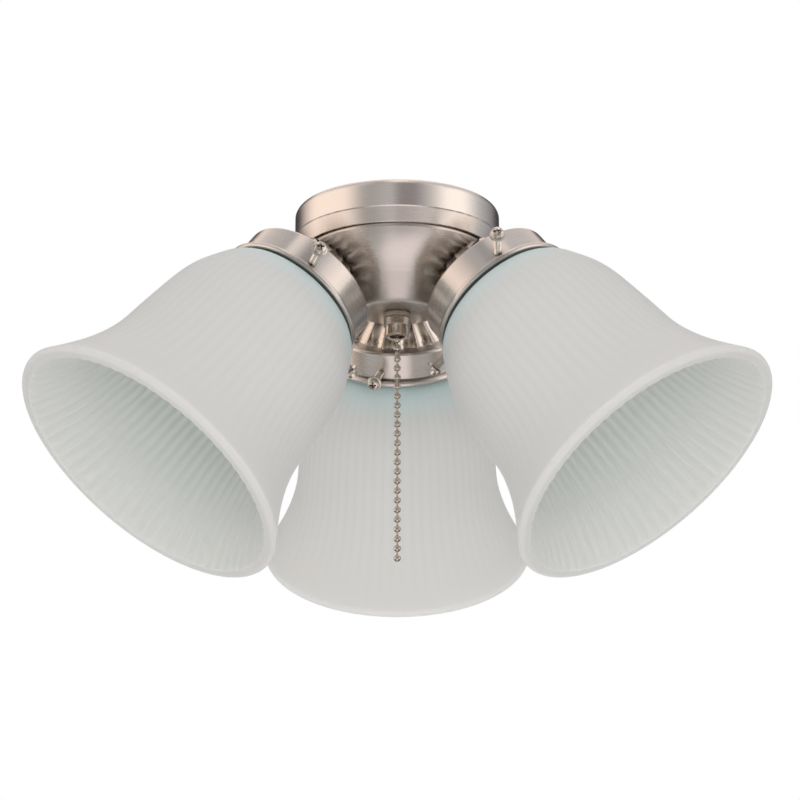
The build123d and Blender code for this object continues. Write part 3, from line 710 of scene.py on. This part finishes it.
def screw_head_mesh():
    """A thumb screw's toothed flange and domed boss. Z is its own axis, out from the arm's axis."""
    seat = CUP_RADIUS + SCREW_STAND_OFF
    step = seat + FLANGE_THICKNESS
    crown = step + BOSS_HEIGHT
    outline = [
        (SCREW_ROOT, seat),
        (HEAD_RADIUS - 2 * HEAD_EDGE, seat),
        (HEAD_RADIUS, seat + HEAD_EDGE),
        (HEAD_RADIUS, step - HEAD_EDGE),
        (HEAD_RADIUS - 2 * HEAD_EDGE, step),
        (BOSS_RADIUS + HEAD_EDGE, step),
        (BOSS_RADIUS, step + HEAD_EDGE),
        (BOSS_RADIUS, crown - BOSS_DOME),
    ]
    for share in DOME_SHARES:
        reach = BOSS_RADIUS * cos(share * pi / 2 * DOME_CLOSING)
        outline.append((reach, crown - BOSS_DOME + BOSS_DOME * sin(share * pi / 2)))

    def teeth(angles, heights):
        tooth = np.abs((angles * FLANGE_TEETH / tau) % 1 - 0.5) * 2
        rows = np.zeros(len(outline))
        rows[2:4] = 1
        rows[1] = rows[4] = TOOTH_EDGE_SHARE
        return -TOOTH_DEPTH * tooth * rows[:, None]

    mesh = ring_mesh("screw_head", turned_rings(outline, FLANGE_TEETH * TOOTH_STEPS, teeth))
    return cut_cross(mesh, crown)


def joined(name, meshes, matrix):
    """One mesh of several, moved by a matrix."""
    work = bmesh.new()
    for mesh in meshes:
        work.from_mesh(mesh)
    work.transform(matrix)
    mesh = bpy.data.meshes.new(name)
    work.to_mesh(mesh)
    work.free()
    return mesh


def make_thumb_screws(nickel):
    head = screw_head_mesh()
    end = CUP_RADIUS + SCREW_STAND_OFF + SCREW_PITCH / 4
    rings = thread_rings(SCREW_ROOT, SCREW_RADIUS, SCREW_TIP, end, SCREW_PITCH, SCREW_SIDES)
    thread = ring_mesh("screw_thread", rings)
    for name in ARM_NAMES:
        for number, bearing in enumerate(SCREW_BEARINGS[name], start=1):
            angle = radians(bearing)
            place = arm_matrix(name) @ Matrix.Rotation(angle, 4, "Z")
            place = place @ Matrix.Translation((0, 0, SCREW_ALONG)) @ Matrix.Rotation(pi / 2, 4, "Y")
            place = place @ Matrix.Rotation(angle * SCREW_TURN, 4, "Z")
            node = f"{name}_thumb_screw_{number}"
            mesh = joined(f"{node}_threaded", [head, thread], place)
            mesh.set_sharp_from_angle(angle=radians(SCREW_SHARP_ANGLE))
            show(f"{node}_threaded", mesh, nickel, node, [node])


def make_mounting_nipple(steel):
    outside = thread_rings(NIPPLE_ROOT, NIPPLE_RADIUS, NIPPLE_LOW, NIPPLE_HIGH, NIPPLE_PITCH, NIPPLE_SIDES)
    bore = turned_rings([(NIPPLE_BORE, NIPPLE_HIGH), (NIPPLE_BORE, NIPPLE_LOW)], NIPPLE_SIDES)
    mesh = ring_mesh("threaded_nipple", np.concatenate([outside, bore]), loop=True)
    mesh.set_sharp_from_angle(angle=radians(THREAD_SHARP_ANGLE))
    show("threaded_nipple", mesh, steel, "kit", ["mounting_nipple"])


def make_screw_shell(name, brass):
    """The lamp holder's shell, rolled with the round thread that takes a lamp's base."""
    heights = [SHELL_LOW + (SHELL_HIGH - SHELL_LOW) * step / SHELL_ROWS for step in range(SHELL_ROWS + 1)]
    inside = SHELL_RADIUS - SHELL_SHEET
    floor = SHELL_LOW + SHELL_SHEET
    outline = [(SHELL_FLOOR_BORE, SHELL_LOW)] + [(SHELL_RADIUS, height) for height in heights]
    outline += [(inside, height) for height in heights[::-1] if height > floor]
    outline += [(inside, floor), (SHELL_FLOOR_BORE, floor)]

    def wave(angles, height):
        rolled = ramp(height, SHELL_LOW + SHELL_PITCH / 4, SHELL_LOW + SHELL_PITCH)
        rolled = rolled * (1 - ramp(height, SHELL_HIGH - SHELL_PITCH / 2, SHELL_HIGH))
        return SHELL_WAVE * rolled * np.sin(tau * height / SHELL_PITCH - angles)

    mesh = ring_mesh(f"{name}_threaded_shell", turned_rings(outline, SHELL_SIDES, wave), loop=True)
    mesh.set_sharp_from_angle(angle=radians(THREAD_SHARP_ANGLE))
    mesh.transform(arm_matrix(name))
    show(f"{name}_threaded_shell", mesh, brass, "kit", [f"{name}_screw_shell"])


def knurl(low, high):
    """A change of radius that cuts crossed grooves between two heights, with a chamfer at both ends."""

    def change(angles, heights):
        turns = angles * KNURLS / tau
        rise = heights * KNURLS / (tau * KNOB_RADIUS)
        first = np.abs(((turns + rise) % 1) * 2 - 1)
        second = np.abs(((turns - rise) % 1) * 2 - 1)
        chamfer = np.clip(1 - np.minimum(heights - low, high - heights) / KNURL_CHAMFER, 0, 1)
        return -(KNURL_DEPTH * np.maximum(first, second) + KNURL_CHAMFER * chamfer)

    return change


def knurl_rows(low, high):
    """Heights close enough for the crossed grooves."""
    pitch = tau * KNOB_RADIUS / KNURLS
    count = int((high - low) / pitch * KNURL_STEPS)
    return [(KNOB_RADIUS, low + (high - low) * step / count) for step in range(count + 1)]


def make_switch_nut(nickel):
    outline = [(KNOB_BORE, NUT_LOW), (KNOB_CORE_RADIUS, NUT_LOW)]
    outline += knurl_rows(NUT_LOW, NUT_TOP)
    outline += [(KNOB_CORE_RADIUS, NUT_TOP), (KNOB_BORE, NUT_TOP)]
    rings = turned_rings(outline, KNURLS * KNURL_STEPS)
    rows = slice(2, len(outline) - 2)
    rings[rows] = turned_rings(outline[rows], KNURLS * KNURL_STEPS, knurl(NUT_LOW, NUT_TOP))
    mesh = ring_mesh("knurled_nut", rings, loop=True)
    show("knurled_nut", mesh, nickel, "kit", ["switch_nut"])


def make_nozzle(nickel):
    """The knurled collar, a groove and the smooth barrel with its open mouth."""
    knurled = knurl_rows(COLLAR_LOW, COLLAR_TOP)[::-1]
    barrel = [
        (KNOB_CORE_RADIUS, COLLAR_LOW),
        (KNOB_CORE_RADIUS, BARREL_TOP + NOZZLE_EDGE),
        (KNOB_CORE_RADIUS - NOZZLE_EDGE, BARREL_TOP),
        (BARREL_RADIUS, BARREL_TOP - 2 * NOZZLE_EDGE),
    ]
    for step in range(BARREL_ROUND_STEPS + 1):
        angle = pi / 2 * step / BARREL_ROUND_STEPS
        reach = BARREL_RADIUS - BARREL_ROUND * (1 - cos(angle))
        barrel.append((reach, BARREL_LOW + BARREL_ROUND * (1 - sin(angle))))
    mouth = [
        (BARREL_MOUTH_RADIUS + 3 * NOZZLE_EDGE, BARREL_LOW),
        (BARREL_MOUTH_RADIUS, BARREL_LOW + 3 * NOZZLE_EDGE),
        (BARREL_MOUTH_RADIUS, MOUTH_SHOULDER),
        (CHAIN_BORE, MOUTH_SHOULDER),
        (CHAIN_BORE, BUSHING_END),
        (KNOB_BORE, BUSHING_END),
        (KNOB_BORE, NOZZLE_TOP),
    ]
    top = [(KNOB_CORE_RADIUS, NOZZLE_TOP), (KNOB_CORE_RADIUS, COLLAR_TOP)]
    outline = top + knurled + barrel + mouth
    rings = turned_rings(outline, KNURLS * KNURL_STEPS)
    rows = slice(len(top), len(top) + len(knurled))
    rings[rows] = turned_rings(knurled, KNURLS * KNURL_STEPS, knurl(COLLAR_LOW, COLLAR_TOP))
    mesh = ring_mesh("knurled_nozzle", rings[::-1], loop=True)
    mesh.set_sharp_from_angle(angle=radians(NOZZLE_SHARP_ANGLE))
    show("knurled_nozzle", mesh, nickel, "kit", ["chain_nozzle"])


def dress_nodes(materials):
    """Gives each CAD node that shows the material of its slot. Brushed pieces take their own axis."""
    slots = {part["node"]: part["material_slot"] for part in frame["record"]["subparts"]}
    upright = Matrix.Identity(4)
    brushed = {}
    for name in ARM_NAMES:
        brushed[name] = brushed_nickel(f"{name}_brushed_nickel", arm_matrix(name), ARM_PAINTED_SHADE_REACH)
    # The cap: a lighter copy of the nickel, a painted highlight, with less painted shade in recesses
    brushed["cap"] = brushed_nickel("cap_brushed_nickel", upright, CAP_PAINTED_SHADE_REACH, CAP_PAINTED_HIGHLIGHT)
    central = brushed_nickel("central_brushed_nickel", upright, CENTRE_PAINTED_SHADE_REACH)
    for name, node in nodes.items():
        if name.endswith("_neck"):
            material = materials["satin_nickel"]
        elif slots[name] == "nickel":
            material = brushed.get(name.split("_")[0], central)
        else:
            material = materials[slots[name]]
        node.data.materials.clear()
        node.data.materials.append(material)


# Stage


def make_floor():
    work = bmesh.new()
    bmesh.ops.create_grid(work, x_segments=1, y_segments=1, size=FLOOR_SIZE / 2)
    mesh = bpy.data.meshes.new("floor")
    work.to_mesh(mesh)
    work.free()
    floor = bpy.data.objects.new("floor", mesh)
    bpy.context.scene.collection.objects.link(floor)
    floor.location.z = -FLOOR_DROP
    floor.visible_glossy = False
    material, tree, shader = new_material("pale_floor")
    shader.inputs["Base Color"].default_value = (*FLOOR_COLOUR, 1)
    shader.inputs["Roughness"].default_value = FLOOR_ROUGHNESS
    mesh.materials.append(material)


def studio_band(tree, share, stops):
    """A colour for each azimuth, from (degrees, colour) stops."""
    band = add(tree, "ShaderNodeValToRGB", {"Fac": share})
    elements = band.color_ramp.elements
    while len(elements) < len(stops):
        elements.new(0.5)
    for element, (azimuth, colour) in zip(elements, stops):
        element.position = azimuth / 360 + 0.5
        element.color = (*colour, 1)
    return band.outputs["Color"]


def studio_colour(tree, direction):
    """Walls all round with pale and dark parts, a pale table below in front and a pale ceiling."""
    split = add(tree, "ShaderNodeSeparateXYZ", {0: direction})
    x, y, z = split.outputs
    turn = calc(tree, "ARCTAN2", x, calc(tree, "MULTIPLY", y, -1.0))
    share = calc(tree, "ADD", calc(tree, "DIVIDE", turn, tau), 0.5)
    walls = studio_band(tree, share, STUDIO_WALLS)
    low = studio_band(tree, share, STUDIO_LOW)
    eaves = studio_band(tree, share, STUDIO_EAVES)
    high = studio_band(tree, share, STUDIO_HIGH)
    foot = studio_band(tree, share, [(azimuth, (depth, depth, depth)) for azimuth, depth in WALL_FOOT])
    above_foot = calc(tree, "ADD", z, foot)
    front = spread(tree, calc(tree, "ABSOLUTE", turn), 1.0, 0.0, *(radians(side) for side in DADO_SIDE))
    dado = calc(tree, "MULTIPLY", spread(tree, z, 1.0, 0.0, *DADO_TOP), spread(tree, z, 0.0, 1.0, *DADO_FOOT))
    walls = mix_colours(tree, calc(tree, "MULTIPLY", front, dado), walls, STUDIO_DADO)
    colour = mix_colours(tree, spread(tree, above_foot, 1.0, 0.0, *WALL_FOOT_BLUR), walls, low)
    colour = mix_colours(tree, spread(tree, z, 1.0, 0.0, *FLOOR_EDGE), colour, STUDIO_FLOOR)
    colour = mix_colours(tree, spread(tree, z, 0.0, 1.0, *EAVES_EDGE), colour, eaves)
    return mix_colours(tree, spread(tree, z, 0.0, 1.0, *HIGH_EDGE), colour, high)


def make_world():
    """White behind the object and soft light on it. Metal sees a studio with pale and dark parts."""
    world = bpy.data.worlds.new("studio")
    world.cycles.sampling_method = "NONE"
    bpy.context.scene.world = world
    world.use_nodes = True
    tree = world.node_tree
    tree.nodes.clear()
    path = add(tree, "ShaderNodeLightPath")
    studio = studio_colour(tree, add(tree, "ShaderNodeTexCoord").outputs["Generated"])
    soft = mix_colours(tree, path.outputs["Is Glossy Ray"], SOFT_GREY, studio)
    straight = calc(tree, "MAXIMUM", path.outputs["Is Camera Ray"], path.outputs["Is Transmission Ray"])
    seen = mix_colours(tree, straight, soft, WHITE)
    background = add(tree, "ShaderNodeBackground", {"Color": seen, "Strength": 1.0})
    output = add(tree, "ShaderNodeOutputWorld")
    tree.links.new(background.outputs[0], output.inputs["Surface"])


def add_light(name, place, size, power, colour):
    lamp = bpy.data.lights.new(name, "AREA")
    lamp.shape = "RECTANGLE"
    lamp.size, lamp.size_y = size
    lamp.energy = power
    lamp.color = colour
    light = bpy.data.objects.new(name, lamp)
    bpy.context.scene.collection.objects.link(light)
    light.location = place
    light.rotation_euler = (LIGHT_TARGET - Vector(place)).to_track_quat("-Z", "Y").to_euler()
    light.visible_glossy = False


def make_camera():
    camera_data = bpy.data.cameras.new("camera")
    camera_data.lens = CAMERA_LENS
    camera_data.shift_x = CAMERA_SHIFT
    camera = bpy.data.objects.new("camera", camera_data)
    bpy.context.scene.collection.objects.link(camera)
    rise = radians(CAMERA_ELEVATION)
    camera.location = CAMERA_TARGET + CAMERA_DISTANCE * Vector((0, -cos(rise), sin(rise)))
    camera.rotation_euler = (pi / 2 - rise, 0, 0)
    bpy.context.scene.camera = camera


def main():
    materials = {name: plain_metal(name, *look) for name, look in METALS.items()}
    materials.update((name, plain_solid(name, *look)) for name, look in SOLIDS.items())
    materials["frosted_glass"] = frosted_glass("frosted_glass")
    dress_nodes(materials)
    for name in ARM_NAMES:
        make_shade(name, materials["frosted_glass"])
        make_screw_shell(name, materials["brass"])
    make_thumb_screws(materials["highlight_lifted_nickel"])
    make_mounting_nipple(materials["zinc_steel"])
    make_switch_nut(materials["shade_darkened_nickel"])
    make_nozzle(materials["shade_darkened_nickel"])
    make_floor()
    make_world()
    for light in LIGHTS:
        add_light(*light)
    make_camera()
    bpy.context.scene.view_settings.view_transform = "Standard"


main()
